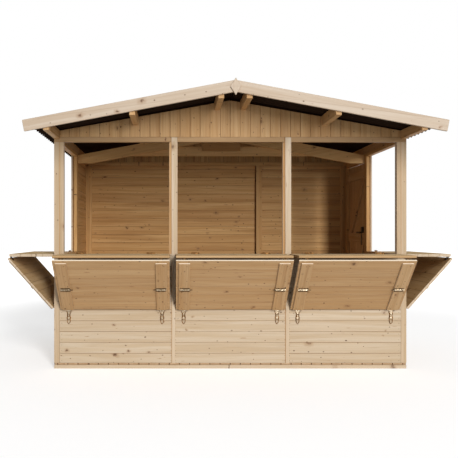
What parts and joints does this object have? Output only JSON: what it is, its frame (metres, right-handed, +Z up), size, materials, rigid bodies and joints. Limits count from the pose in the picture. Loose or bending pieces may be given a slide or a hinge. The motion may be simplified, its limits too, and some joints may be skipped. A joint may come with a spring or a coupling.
{
  "type": "wooden market stall",
  "caption": "Gable-roofed timber market stall with boarded walls, fold-down serving counters on the front and sides, and a side door.",
  "frame": {"origin": "middle of the stall's base, on the ground under the middle floor bearer", "axes": "+X along the front to the right, +Y from the front wall to the rear wall, +Z up"},
  "size_m": [3.8084, 2.404, 2.357],
  "materials": {
    "wall_boards": "planed spruce, untreated",
    "frame_timber": "planed spruce, untreated",
    "hatch_boards": "planed spruce, untreated",
    "fascia_timber": "planed spruce, untreated",
    "floor_timber": "planed spruce, untreated",
    "bitumen_sheet": "matt corrugated bitumen",
    "zinc_steel": "zinc plated"
  },
  "bodies": {
    "stall": {"bottom_rails": "frame_timber", "cover_strips": "frame_timber", "door_lintel": "wall_boards", "floor_bearers": "floor_timber", "floor_deck": "floor_timber", "front_cladding": "wall_boards", "front_fascias": "fascia_timber", "front_gable": "wall_boards", "front_posts": "frame_timber", "gable_diamonds": "fascia_timber", "header_rails": "frame_timber", "left_cladding": "wall_boards", "left_posts": "frame_timber", "purlins": "frame_timber", "rear_cladding": "wall_boards", "rear_fascias": "fascia_timber", "rear_gable": "wall_boards", "rear_posts": "frame_timber", "ridge_cap": "bitumen_sheet", "right_cladding": "wall_boards", "right_posts": "frame_timber", "roof_sheet_left": "bitumen_sheet", "roof_sheet_right": "bitumen_sheet", "sill_rails": "frame_timber", "truss_collar": "frame_timber", "truss_gusset": "frame_timber", "truss_rafters": "frame_timber", "wall_fittings": "zinc_steel"},
    "door": {"door_fittings": "zinc_steel", "door_leaf": "wall_boards"},
    "front_left_counter": {"front_left_counter": "hatch_boards", "front_left_counter_hinges": "zinc_steel"},
    "front_left_flap": {"front_left_flap": "hatch_boards", "front_left_flap_fittings": "zinc_steel"},
    "front_middle_counter": {"front_middle_counter": "hatch_boards", "front_middle_counter_hinges": "zinc_steel"},
    "front_middle_flap": {"front_middle_flap": "hatch_boards", "front_middle_flap_fittings": "zinc_steel"},
    "front_right_counter": {"front_right_counter": "hatch_boards", "front_right_counter_hinges": "zinc_steel"},
    "front_right_flap": {"front_right_flap": "hatch_boards", "front_right_flap_fittings": "zinc_steel"},
    "left_side_counter": {"left_side_counter": "hatch_boards", "left_side_counter_hinges": "zinc_steel"},
    "left_side_flap": {"left_side_flap": "hatch_boards", "left_side_flap_fittings": "zinc_steel"},
    "right_side_counter": {"right_side_counter": "hatch_boards", "right_side_counter_hinges": "zinc_steel"},
    "right_side_flap": {"right_side_flap": "hatch_boards", "right_side_flap_fittings": "zinc_steel"}
  },
  "joints": [
    {"name": "front_left_sill_hinge", "type": "hinge", "parent": "stall", "child": "front_left_counter", "pos_m": [-0.97733, -0.9, 0.985], "axis": [-1, 0, 0], "range_deg": [0, 90]},
    {"name": "front_left_fold_hinge", "type": "hinge", "parent": "front_left_counter", "child": "front_left_flap", "pos_m": [-0.97733, -1.291, 0.9475], "axis": [-1, 0, 0], "range_deg": [0, 132]},
    {"name": "front_middle_sill_hinge", "type": "hinge", "parent": "stall", "child": "front_middle_counter", "pos_m": [0, -0.9, 0.985], "axis": [-1, 0, 0], "range_deg": [0, 90]},
    {"name": "front_middle_fold_hinge", "type": "hinge", "parent": "front_middle_counter", "child": "front_middle_flap", "pos_m": [0, -1.291, 0.9475], "axis": [-1, 0, 0], "range_deg": [0, 132]},
    {"name": "front_right_sill_hinge", "type": "hinge", "parent": "stall", "child": "front_right_counter", "pos_m": [0.96933, -0.9, 0.985], "axis": [-1, 0, 0], "range_deg": [0, 90]},
    {"name": "front_right_fold_hinge", "type": "hinge", "parent": "front_right_counter", "child": "front_right_flap", "pos_m": [0.96933, -1.291, 0.9475], "axis": [-1, 0, 0], "range_deg": [0, 132]},
    {"name": "left_side_sill_hinge", "type": "hinge", "parent": "stall", "child": "left_side_counter", "pos_m": [-1.5, -0.415, 0.985], "axis": [0, 1, 0], "range_deg": [0, 90]},
    {"name": "left_side_fold_hinge", "type": "hinge", "parent": "left_side_counter", "child": "left_side_flap", "pos_m": [-1.891, -0.415, 0.9475], "axis": [0, 1, 0], "range_deg": [0, 132]},
    {"name": "right_side_sill_hinge", "type": "hinge", "parent": "stall", "child": "right_side_counter", "pos_m": [1.5, -0.415, 0.985], "axis": [0, -1, 0], "range_deg": [0, 90]},
    {"name": "right_side_fold_hinge", "type": "hinge", "parent": "right_side_counter", "child": "right_side_flap", "pos_m": [1.891, -0.415, 0.9475], "axis": [0, -1, 0], "range_deg": [0, 132]},
    {"name": "door_hinge", "type": "hinge", "parent": "stall", "child": "door", "pos_m": [1.507, 0.7385, 0.95], "axis": [0, 0, 1], "range_deg": [0, 110]}
  ]
}
